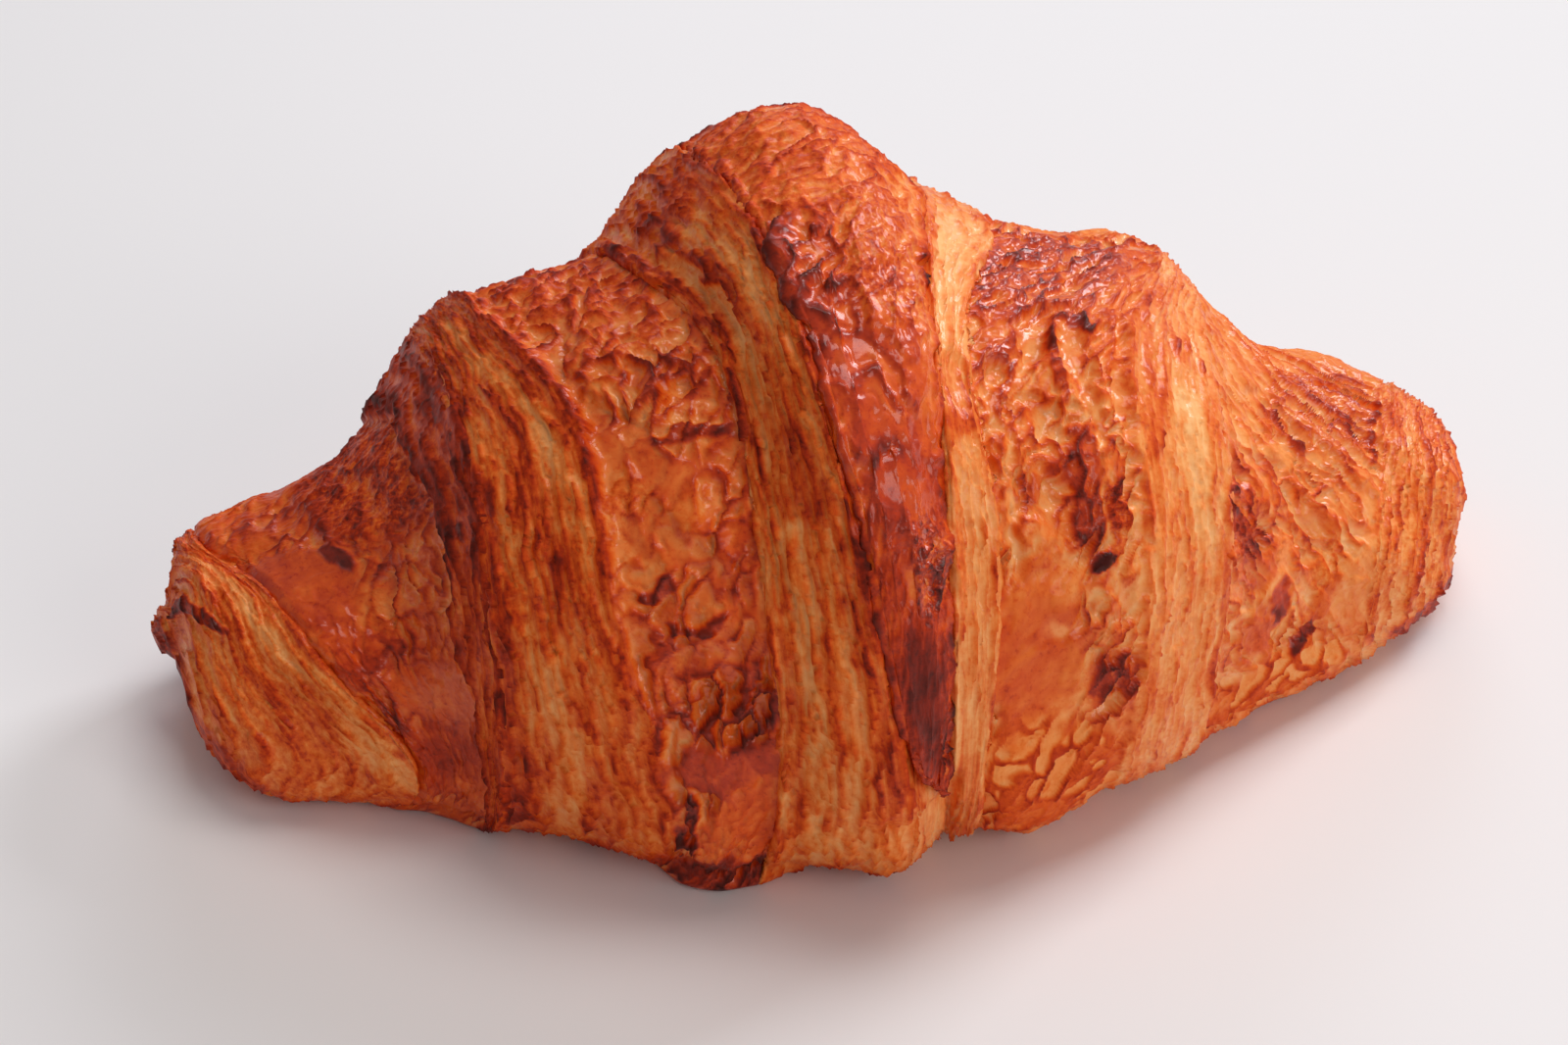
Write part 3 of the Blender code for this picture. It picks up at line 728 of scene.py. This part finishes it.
middleWrap = {
    "name": "middleWrap", "seed": 400, "spokes": 620, "shapeOffset": underFlap,
    "stops": ((-15.4, -6, 0, 1), (-16, -5, 0.7, 2), (-18.2, -3.4, 1, 3), (-19.9, -2.4, 1, 3),
              (-20.5, -1.5, 1, 3), (-20.6, -0.7, 1, 3), (-20.3, -0.1, 1, 3), (-19.8, 0, 1, 42),
              (-8.0, 0, 1, 16), (10.0, 0, 1, 36), (19.8, 0, 1, 3),
              (20.3, -0.1, 1, 3), (20.6, -0.7, 1, 3), (20.5, -1.5, 1, 3), (19.9, -2.4, 1, 3),
              (18.2, -3.4, 1, 2), (16, -5, 0.7, 1), (15.4, -6, 0, 1)),
    "zones": (
        {"kind": "layers", "span": (-20, -6), "bake": 0.44, "layer": 0.85,
         "strips": ({"path": ((-15.6, 96), (-15.0, 82), (-13.8, 68), (-12.8, 56)), "width": 3.2, "bake": 0.26},
                    {"path": ((-17.8, 68), (-18.2, 44)), "width": 2.4, "bake": 0.34},
                    {"path": ((-17.8, 44), (-17.4, 10), (-17.0, -30)), "width": 2.3, "bake": 0.24},
                    {"path": ((-19.9, 112), (-19.8, 40)), "width": 1.0, "bake": 0.70},
                    {"path": ((-18.9, 110), (-18.4, 84), (-17.9, 66)), "width": 1.7, "bake": 0.34, "height": 0.6},
                    {"path": ((-17.4, 108), (-16.9, 84), (-16.6, 66)), "width": 1.1, "bake": 0.66, "height": -0.4},
                    {"path": ((-14.6, 30), (-14.2, -28)), "width": 1.6, "bake": 0.36},
                    # the two dark strips beside the flap's edge are painted shadow of its overhang
                    {"path": ((-10.6, 74), (-10.6, 20)), "width": 2.0, "bake": 0.70},
                    {"path": ((-11.5, 15), (-11.5, -8)), "width": 2.0, "bake": 0.58},),
         "patches": ({"at": (-14, 104), "size": (6, 8), "bake": 0.58, "height": 0.1},
                     {"at": (-16, 40), "size": (3, 5), "bake": 0.58},
                     {"at": (-9, -24), "size": (4, 6), "bake": 0.28},)},
        {"kind": "layers", "span": (-6, 21), "bake": 0.27, "layer": 1.0, "step": 0.8, "glaze": 0.35,
         "strips": ({"path": ((13.2, 105), (13.0, 40)), "width": 1.4, "bake": 0.46},
                    {"path": ((16.6, 106), (16.4, 80), (16.2, 60)), "width": 5.2, "bake": 0.04, "height": 0.4},
                    {"path": ((17.0, 42), (17.0, 20)), "width": 4.2, "bake": 0.18},
                    {"path": ((17.0, 14), (17.0, -8)), "width": 3.6, "bake": 0.24},),
         "patches": ({"at": (16.6, 45), "size": (3.0, 2.2), "bake": 0.46},
                     {"at": (0, -27), "size": (12, 7), "bake": 0.24},
                     {"at": (6, -12), "size": (12, 9), "calm": 0.8},
                     {"at": (17, -24), "size": (4, 8), "bake": 0.38},),
         "blisters": ({"at": (16.6, 53), "size": (2.8, 3.6), "height": 0.9, "bake": 0.02},)},
    ),
}


def tongueOffset(t, angle, lift):
    # the flap ends in a rounded tongue low on the front
    middle, half = 1.0, 11.5
    side = (t - middle) / half
    end = -14.0 - 5.5 * side + 4.0 * np.clip(np.abs(side), 0, 1.1) ** 9
    past = (end[:, None] - angle[None, :]) / 2.6
    return lift - 5.5 * eased(past * 0.5 + 0.5)


flap = {
    "name": "flap", "seed": 500, "spokes": 620, "flapShare": 1.0, "shapeOffset": tongueOffset,
    "stops": ((-3.0, -8, 0, 1), (-4, -7, 0.7, 2), (-7.0, -4.0, 1, 3), (-9.4, -2.4, 1, 3),
              (-10.7, -1.4, 1, 3), (-11.1, -0.5, 1, 3), (-10.9, 0.2, 1, 3), (-10.2, 0.6, 1, 80),
              (12.2, 0.6, 1, 3), (12.8, 0.2, 1, 3), (13.0, -0.5, 1, 3), (12.7, -1.4, 1, 3),
              (11.4, -2.4, 1, 3), (9.0, -4.0, 1, 2), (6, -7, 0.7, 1), (5, -8, 0, 1)),
    "zones": (
        {"kind": "skin", "span": (-11, 13), "bake": 0.55, "flakes": 0.6, "speckle": 0.4, "rise": 0.6,
         "bothEdges": True, "blisterHeight": 1.1, "slant": 0.5, "wide": 2.6,
         "strips": ({"path": ((11.4, 104), (11.2, 70), (11.4, 44)), "width": 2.8, "bake": 0.34},),
         "patches": ({"at": (1, 96), "size": (13, 14), "flakes": 0.4, "speckle": 0.6, "bake": 0.46},
                     # the dark hollow by the flap's left edge is sunk and darkened: painted shadow
                     {"at": (-8.5, 67), "size": (2.6, 7), "bake": 0.68, "height": -1.0, "flakes": 0.2},
                     {"at": (-3, 68), "size": (3.5, 6), "flakes": 1.0, "bake": 0.54},
                     {"at": (5.5, 69), "size": (4.5, 9), "speckle": 0.9, "flakes": 0.3, "bake": 0.50, "glaze": 0.5},
                     {"at": (0, 44), "size": (11, 10), "bake": 0.55, "flakes": 0.1, "speckle": 0.0, "glaze": 0.65},
                     {"at": (-3, 39), "size": (4.5, 1.6), "bake": 0.66, "flakes": 1.0, "soft": 0.9},
                     {"at": (7, 23), "size": (4.2, 6), "speckle": 1.0, "bake": 0.55, "glaze": 0.8},
                     {"at": (-4, 12), "size": (6, 16), "bake": 0.66, "streaky": 1.0, "flakes": 0.1, "calm": 0.3},
                     {"at": (2, 3), "size": (8, 8), "bake": 0.78, "soft": 0.9, "streaky": 0.5, "flakes": 0.1, "speckle": 0.1,
                      "calm": 0.5, "glaze": 0.2},
                     {"at": (6, -15), "size": (7, 3.4), "bake": 0.62, "flakes": 0.3, "streaky": 0.5, "calm": 0.4},),
         # raised blisters; the palest of them are partly painted highlights
         "blisters": ({"at": (-3.6, 54.5), "size": (4.6, 3.8), "slant": 0.5, "height": 1.0, "bake": 0.0},
                      {"at": (1.6, 51.4), "size": (1.2, 4.2), "slant": 3.0, "height": 0.8, "bake": -0.16},
                      {"at": (-6.2, 63.5), "size": (1.6, 2.2), "height": 0.9, "bake": 0.0},
                      {"at": (-2.4, 62), "size": (1.7, 1.9), "height": 1.0, "bake": -0.04},
                      {"at": (-4.4, 71), "size": (1.8, 2.4), "height": 0.8, "bake": -0.06},
                      {"at": (1.0, 43), "size": (6.8, 3.2), "tilt": 0.7, "height": 0.9, "bake": 0.0},
                      {"at": (3.0, 45.0), "size": (5.2, 1.1), "tilt": 1.8, "height": 0.6, "bake": -0.16},
                      {"at": (3.4, 34), "size": (7.4, 3.6), "tilt": 0.4, "height": 0.9, "bake": 0.0},
                      {"at": (10.2, 40), "size": (1.6, 3.2), "height": 0.7, "bake": -0.04},
                      {"at": (-0.2, 22.5), "size": (1.7, 3.0), "height": 0.6, "bake": -0.26, "rim": 0.08},)},
    ),
}

rightInnerWrap = {
    "name": "rightInnerWrap", "seed": 600, "spokes": 592,
    "stops": ((16.0, -6, 0, 1), (16.6, -5, 0.7, 2), (17.8, -3, 1, 3), (19.0, -1.2, 1, 4),
              (19.8, 0, 1, 75), (40.9, 0, 1, 42), (46.0, 0, 1, 3), (46.5, -0.2, 1, 3),
              (46.8, -0.8, 1, 3), (46.7, -1.6, 1, 3), (46.1, -2.4, 1, 2), (44.4, -3.4, 1, 2),
              (42.4, -5, 0.7, 1), (41.8, -6, 0, 1)),
    "zones": (
        {"kind": "skin", "span": (19, 41.2), "bake": 0.31, "flakes": 0.6, "speckle": 0.25, "rise": 0.5,
         "slant": 0.45, "gapBake": 0.54, "wide": 2.8,
         "patches": ({"at": (28, 86), "size": (9, 14), "flakes": 0.8, "speckle": 0.4, "bake": 0.50, "glaze": 0.8},
                     {"at": (38, 80), "size": (4, 16), "flakes": 0.5, "streaky": 0.6, "bake": 0.42},
                     {"at": (24, 57), "size": (3.2, 5), "bake": 0.42, "glaze": 1.0},
                     {"at": (26, 44), "size": (7, 9), "flakes": 1.0, "bake": 0.33},
                     {"at": (34.5, 67.5), "size": (2.4, 0.8), "bake": 0.66, "height": -0.4},
                     {"at": (31.6, 57), "size": (0.8, 6), "bake": 0.56, "height": -0.4, "slant": 1.0},
                     {"at": (33.6, 34), "size": (2.2, 7.6), "bake": 0.62, "flakes": 0.6, "height": -0.5},
                     {"at": (38, 31), "size": (1.4, 3), "bake": 0.64, "speckle": 1.0, "height": -0.2},
                     {"at": (35.2, 21.5), "size": (2.2, 1.3), "bake": 0.78, "height": -0.7},
                     {"at": (25.4, 35), "size": (1.1, 2.6), "bake": 0.56},
                     {"at": (26, 6), "size": (6.5, 10), "bake": 0.46, "flakes": 0.0, "speckle": 0.0, "calm": 0.5},
                     {"at": (35, 9), "size": (3.4, 3.4), "flakes": 1.0, "bake": 0.40},
                     {"at": (38.4, 1.5), "size": (3, 3), "bake": 0.60, "flakes": 1.0, "speckle": 0.3},
                     {"at": (29, -20), "size": (13, 9), "plates": 1.0, "flakes": 0.1},),
         # raised blisters; the palest of them are partly painted highlights
         "blisters": ({"at": (29, 64.5), "size": (1.6, 4.6), "slant": 0.3, "height": 1.3, "bake": -0.06},
                      {"at": (34.8, 60), "size": (2.0, 5.4), "slant": 0.5, "height": 1.3, "bake": 0.0},
                      {"at": (36.6, 49), "size": (1.2, 4.0), "slant": 0.9, "height": 0.8, "bake": -0.06},
                      {"at": (29.6, 46), "size": (1.3, 2.6), "slant": 0.6, "height": 0.8, "bake": -0.08},
                      {"at": (23.4, 47), "size": (1.4, 2.2), "slant": 0.8, "height": 0.7, "bake": -0.08},
                      {"at": (28.4, 33), "size": (1.8, 4.4), "height": 0.7, "bake": -0.06},
                      {"at": (23.2, 25), "size": (0.9, 3.8), "height": 0.9, "bake": -0.14},
                      {"at": (37.8, 17), "size": (1.4, 3.6), "slant": 0.8, "height": 0.7, "bake": -0.06},
                      {"at": (29, 10), "size": (2.2, 2.6), "height": 0.4, "bake": -0.14},)},
        {"kind": "layers", "span": (41.2, 46), "bake": 0.28, "layer": 0.7, "step": 0.6, "glaze": 0.35,
         "strips": ({"path": ((44.2, 54), (44.2, 24)), "width": 2.6, "bake": 0.02, "strength": 1.0},
                    {"path": ((44.2, 22), (44.0, -30)), "width": 2.4, "bake": 0.30},
                    {"path": ((42.0, 85), (42.2, 40)), "width": 2.4, "bake": 0.44},
                    {"path": ((45.9, 30), (45.9, -10)), "width": 1.0, "bake": 0.56},)},
    ),
}

rightOuterWrap = {
    "name": "rightOuterWrap", "seed": 700, "spokes": 480,
    "stops": ((42.6, -6, 0, 1), (43.0, -5, 0.7, 2), (44.0, -3, 1, 3), (45.1, -1.2, 1, 4),
              (46.0, 0, 1, 98), (73.5, 0, 1, 50), (81.8, 0, 1, 18), (83.0, 0, 1, 1)),
    "zones": (
        {"kind": "skin", "span": (45, 72), "bake": 0.30, "flakes": 0.5, "speckle": 0.2,
         "slant": -0.5, "gapBake": 0.50, "wide": 2.7,
         "strips": ({"path": ((71.6, 82), (70.8, 62), (71.2, 46)), "width": 1.1, "bake": 0.60, "height": -0.4},),
         "patches": ({"at": (52, 84), "size": (7, 26), "streaky": 1.0, "flakes": 0.3, "bake": 0.28},
                     {"at": (64, 78), "size": (8, 22), "flakes": 1.0, "speckle": 0.3, "bake": 0.32, "glaze": 0.8},
                     {"at": (60, 46), "size": (8, 10), "flakes": 1.0, "bake": 0.28},
                     {"at": (58, 55), "size": (1.2, 6), "slant": 2.2, "bake": 0.52, "height": -0.4},
                     {"at": (70, 56), "size": (1.0, 4), "slant": 2.0, "bake": 0.54},
                     {"at": (56, 45), "size": (2.2, 2.4), "bake": 0.20, "flakes": 0.1},
                     {"at": (49, 27), "size": (3.6, 8), "bake": 0.50, "speckle": 0.6, "streaky": 0.6},
                     {"at": (52, 15), "size": (3, 5), "bake": 0.53},
                     {"at": (53.5, -4), "size": (3.4, 4), "bake": 0.48, "flakes": 0.1},
                     {"at": (56.6, 1), "size": (1.6, 5), "slant": 0.5, "bake": 0.68},
                     {"at": (62.0, -10), "size": (1.4, 3.8), "slant": -0.8, "bake": 0.74},
                     {"at": (64.8, 1), "size": (2.4, 4.6), "bake": 0.48, "flakes": 0.0},
                     {"at": (69, 2), "size": (2.6, 8), "bake": 0.28, "flakes": 0.1},
                     {"at": (58, -21), "size": (11, 6), "plates": 1.0, "flakes": 0.1},),
         # raised blisters; the palest of them are partly painted highlights
         "blisters": ({"at": (61.4, 22), "size": (1.8, 6.6), "slant": 0.7, "height": 0.8, "bake": -0.08},
                      {"at": (59.4, 26), "size": (0.9, 5.0), "slant": 2.0, "height": 0.9, "bake": -0.14},
                      {"at": (66, 30), "size": (1.8, 5.6), "slant": 0.5, "height": 0.6, "bake": 0.02},
                      {"at": (70, 26), "size": (1.6, 6.0), "height": 0.5, "bake": -0.02},
                      {"at": (63.4, 44), "size": (2.0, 5.0), "slant": 0.8, "height": 0.8, "bake": -0.04},
                      {"at": (61.4, 4), "size": (1.3, 4.6), "slant": 0.3, "height": 0.5, "bake": -0.12},)},
        {"kind": "layers", "span": (72, 83), "bake": 0.32, "layer": 0.8, "step": 1.2, "glaze": 0.4,
         "speckle": 0.6,
         "strips": ({"path": ((74.6, 88), (75.2, 40), (73.8, -20)), "width": 0.8, "bake": 0.46, "height": -0.3},
                    {"path": ((77.0, 80), (77.8, 35), (76.2, -20)), "width": 0.8, "bake": 0.48, "height": -0.3},
                    {"path": ((79.4, 75), (80.4, 30), (79.0, -15)), "width": 0.8, "bake": 0.46, "height": -0.3},
                    {"path": ((82.6, 100), (82.6, -30)), "width": 1.2, "bake": 0.52},),
         # the dark patch under the end is painted shade
         "patches": ({"at": (79, -25), "size": (5, 5), "bake": 0.66},)},
    ),
}


# ---- the crust's material ----

def screenColour(red, green, blue):
    # the linear value of a colour given as it shows on a screen
    values = [v / 255 for v in (red, green, blue)]
    return tuple(v / 12.92 if v <= 0.04045 else ((v + 0.055) / 1.055) ** 2.4 for v in values) + (1.0,)


crustFinish = {
    "bakeColours": (           # from pale dough to scorched
        (0.00, (252, 187, 122)), (0.14, (248, 166, 96)), (0.28, (241, 139, 67)), (0.40, (232, 110, 38)),
        (0.52, (216, 80, 18)), (0.64, (184, 51, 10)), (0.76, (138, 33, 10)), (0.88, (96, 24, 11)),
        (1.00, (68, 17, 10)),
    ),
    "roughness": (0.32, 0.62),     # egg-washed, bare
    "coatRoughness": 0.15,
    "coat": 0.80,
    "specular": 0.1,
}


def addNode(tree, kind, x, y, **values):
    node = tree.nodes.new(kind)
    node.location = (x, y)
    for name, value in values.items():
        setattr(node, name, value)
    return node


def mathNode(tree, operation, x, y, first, second, clamp=False):
    node = addNode(tree, "ShaderNodeMath", x, y, operation=operation, use_clamp=clamp)
    for socket, value in zip(node.inputs, (first, second)):
        if isinstance(value, bpy.types.NodeSocket):
            tree.links.new(value, socket)
        else:
            socket.default_value = value
    return node.outputs[0]


def crustMaterial():
    material = bpy.data.materials.new("bakedCrust")
    material.use_nodes = True
    tree = material.node_tree
    shader = tree.nodes["Principled BSDF"]
    link = tree.links.new

    coordinates = addNode(tree, "ShaderNodeTexCoord", -1600, 0).outputs["Object"]
    sockets = {}
    for n, title in enumerate(("bake", "glaze", "layered", "speckle", "wrapPlace")):
        reader = addNode(tree, "ShaderNodeAttribute", -1600, -200 - 180 * n, attribute_name=title)
        sockets[title] = reader.outputs["Vector" if title == "wrapPlace" else "Fac"]

    def noiseAt(vector, scale, detail, x, y, rough=0.6):
        noise = addNode(tree, "ShaderNodeTexNoise", x, y)
        link(vector, noise.inputs["Vector"])
        noise.inputs["Scale"].default_value = scale
        noise.inputs["Detail"].default_value = detail
        noise.inputs["Roughness"].default_value = rough
        return noise.outputs["Fac"]

    stretched = addNode(tree, "ShaderNodeMapping", -1400, -800)
    stretched.inputs["Scale"].default_value = (2.2, 0.2, 1)
    link(sockets["wrapPlace"], stretched.inputs["Vector"])
    streaks = noiseAt(stretched.outputs[0], 1.0, 4, -1200, -800, 0.65)
    mottle = noiseAt(coordinates, 420, 5, -1200, 200)
    pores = noiseAt(coordinates, 1700, 3, -1200, 0)

    # bake and painted shade plus mottling, streaks where the layers show and specks where the crust is rough
    specks = noiseAt(coordinates, 1250, 2, -1200, -200, 0.7)
    speckPart = mathNode(tree, "MULTIPLY", -1000, -250, mathNode(tree, "SUBTRACT", -1100, -250, specks, 0.5), 0.75)
    speckPart = mathNode(tree, "MULTIPLY", -900, -250, speckPart, sockets["speckle"])
    streakPart = mathNode(tree, "MULTIPLY", -1000, -700, mathNode(tree, "SUBTRACT", -1100, -700, streaks, 0.5), 0.30)
    streakPart = mathNode(tree, "MULTIPLY", -900, -700, streakPart, sockets["layered"])
    mottlePart = mathNode(tree, "MULTIPLY", -900, 200, mathNode(tree, "SUBTRACT", -1000, 200, mottle, 0.5), 0.22)
    freckles = mathNode(tree, "MULTIPLY", -1000, 0, mathNode(tree, "SUBTRACT", -1100, 0, pores, 0.54), 4.0, True)
    porePart = mathNode(tree, "MULTIPLY", -900, 0, freckles, 0.12)
    bakeAndShadeTone = mathNode(tree, "ADD", -800, 100, mottlePart, porePart)
    bakeAndShadeTone = mathNode(tree, "ADD", -700, 0, bakeAndShadeTone, streakPart)
    bakeAndShadeTone = mathNode(tree, "ADD", -650, 0, bakeAndShadeTone, speckPart)
    bakeAndShadeTone = mathNode(tree, "ADD", -600, 0, bakeAndShadeTone, sockets["bake"])

    ramp = addNode(tree, "ShaderNodeValToRGB", -420, 100)
    ramp.color_ramp.interpolation = "LINEAR"
    points = ramp.color_ramp.elements
    while len(points) < len(crustFinish["bakeColours"]):
        points.new(0.5)
    for point, (place, colour) in zip(points, crustFinish["bakeColours"]):
        point.position = place
        point.color = screenColour(*colour)
    link(bakeAndShadeTone, ramp.inputs["Fac"])
    link(ramp.outputs["Color"], shader.inputs["Base Color"])

    glossy, dull = crustFinish["roughness"]
    rough = mathNode(tree, "MULTIPLY", -420, -200, sockets["glaze"], glossy - dull)
    rough = mathNode(tree, "ADD", -320, -200, rough, dull)
    rough = mathNode(tree, "ADD", -220, -200, rough,
                     mathNode(tree, "MULTIPLY", -320, -300, mathNode(tree, "SUBTRACT", -420, -300, mottle, 0.5), 0.3), True)
    link(rough, shader.inputs["Roughness"])
    coat = mathNode(tree, "MULTIPLY", -220, -420, sockets["glaze"], crustFinish["coat"])
    link(coat, shader.inputs["Coat Weight"])
    shader.inputs["Coat Roughness"].default_value = crustFinish["coatRoughness"]
    shader.inputs["Specular IOR Level"].default_value = crustFinish["specular"]

    bump = addNode(tree, "ShaderNodeBump", -220, -600)
    bump.inputs["Strength"].default_value = 0.6
    bump.inputs["Distance"].default_value = 0.00012
    surface = mathNode(tree, "ADD", -420, -600, mathNode(tree, "MULTIPLY", -520, -600, pores, 0.5), mottle)
    surface = mathNode(tree, "ADD", -320, -600, surface,
                       mathNode(tree, "MULTIPLY", -420, -700, streaks, sockets["layered"]))
    speckBump = mathNode(tree, "MULTIPLY", -420, -800, specks, sockets["speckle"])
    surface = mathNode(tree, "ADD", -270, -600, surface, mathNode(tree, "MULTIPLY", -320, -800, speckBump, -2.0))
    link(surface, bump.inputs["Height"])
    link(bump.outputs["Normal"], shader.inputs["Normal"])
    return material


# ---- put together ----

crust = crustMaterial()
for form in (leftTipRoll, leftOuterWrap, leftInnerWrap, middleWrap, flap, rightInnerWrap, rightOuterWrap):
    piece = makeWrap(form)
    piece.data.materials.append(crust)
    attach(piece, "root")
    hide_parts("croissant")
print("wraps made")


# ---- floor, light and camera ----

studio = {
    "floor": (236, 232, 231),
    "windowPower": 16.5,
    "windowColour": (0.90, 0.94, 1.0),
    "ceilingPower": 2.8,
    "ceilingColour": (1.0, 0.98, 0.96),
    "fillPower": 6.0,
    "backPower": 4.5,
    "backColour": (0.78, 0.84, 1.0),
    "sky": 0.3,
}


def makeFloor():
    bpy.ops.object.select_all(action="DESELECT")
    bpy.ops.mesh.primitive_plane_add(size=6, location=(0, 0, 0))
    floor = bpy.context.object
    floor.name = "floor"
    material = bpy.data.materials.new("paleFloor")
    material.use_nodes = True
    shader = material.node_tree.nodes["Principled BSDF"]
    shader.inputs["Base Color"].default_value = screenColour(*studio["floor"])
    shader.inputs["Roughness"].default_value = 0.55
    floor.data.materials.append(material)


def makeLight(name, place, size, power, colour):
    light = bpy.data.lights.new(name, "AREA")
    light.shape = "RECTANGLE"
    light.size, light.size_y = size
    light.energy = power
    light.color = colour
    lamp = bpy.data.objects.new(name, light)
    lamp.location = place
    lamp.rotation_euler = (Vector((0, 0, 0.02)) - Vector(place)).to_track_quat("-Z", "Y").to_euler()
    bpy.context.scene.collection.objects.link(lamp)


def makeSky():
    world = bpy.data.worlds.new("room")
    world.use_nodes = True
    background = world.node_tree.nodes["Background"]
    background.inputs["Color"].default_value = (0.98, 0.985, 1.0, 1)
    background.inputs["Strength"].default_value = studio["sky"]
    bpy.context.scene.world = world


def makeCamera():
    azimuth, elevation, roll = (math.radians(v) for v in (-12, 34, -0.6))
    aim = Vector((-0.0033, 0.0226, 0.0114))
    back = Vector((math.sin(azimuth) * math.cos(elevation), -math.cos(azimuth) * math.cos(elevation),
                   math.sin(elevation)))
    camera = bpy.data.cameras.new("camera")
    camera.lens = 85
    camera.sensor_width = 36
    camera.clip_start = 0.01
    viewer = bpy.data.objects.new("camera", camera)
    viewer.location = aim + back * 0.449
    turn = (-back).to_track_quat("-Z", "Y").to_matrix().to_4x4()
    viewer.rotation_euler = (turn @ Matrix.Rotation(roll, 4, "Z")).to_euler()
    bpy.context.scene.collection.objects.link(viewer)
    bpy.context.scene.camera = viewer


makeFloor()
makeLight("window", (1.35, 0.75, 1.1), (0.7, 0.7), studio["windowPower"], studio["windowColour"])
makeLight("ceiling", (0.15, 0.05, 0.9), (0.45, 0.45), studio["ceilingPower"], studio["ceilingColour"])
makeLight("roomSide", (0.75, -1.15, 0.75), (0.9, 0.7), studio["fillPower"], (1.0, 0.97, 0.93))
makeLight("backWall", (0.35, 1.7, 0.95), (0.7, 0.5), studio["backPower"], studio["backColour"])
makeSky()
makeCamera()
bpy.context.scene.view_settings.view_transform = "Standard"
print("studio ready")
